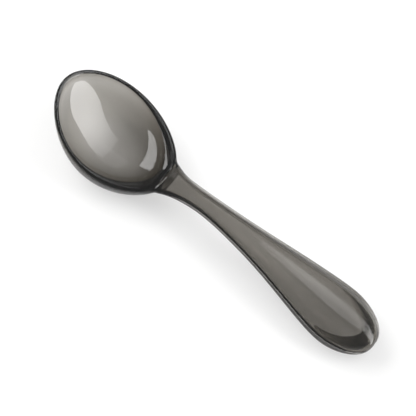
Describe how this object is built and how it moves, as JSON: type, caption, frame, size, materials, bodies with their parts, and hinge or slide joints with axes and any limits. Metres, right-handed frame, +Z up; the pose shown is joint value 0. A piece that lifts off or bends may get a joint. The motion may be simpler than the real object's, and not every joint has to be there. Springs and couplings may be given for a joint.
{
  "type": "soup spoon",
  "caption": "Oval soup spoon in see-through smoke-grey plastic with a deep bowl, a solid heel and a hollow flared handle.",
  "frame": {"origin": "middle of the bounding box in X and Y, on the table plane under the bowl and the butt", "axes": "+X along the spoon from the bowl to the butt, +Z up out of the bowl, Y across"},
  "size_m": [0.18, 0.0486, 0.025],
  "materials": {
    "bowl_smoke_plastic": "clear gloss, smoke tint",
    "upper_shell_smoke_plastic": "clear gloss, smoke tint",
    "lower_shell_smoke_plastic": "clear gloss, smoke tint",
    "insert_smoke_plastic": "clear gloss, smoke tint"
  },
  "bodies": {
    "root": {"bowl": "bowl_smoke_plastic", "handle_upper_shell": "upper_shell_smoke_plastic", "handle_lower_shell": "lower_shell_smoke_plastic", "end_insert": "insert_smoke_plastic"}
  },
  "joints": []
}
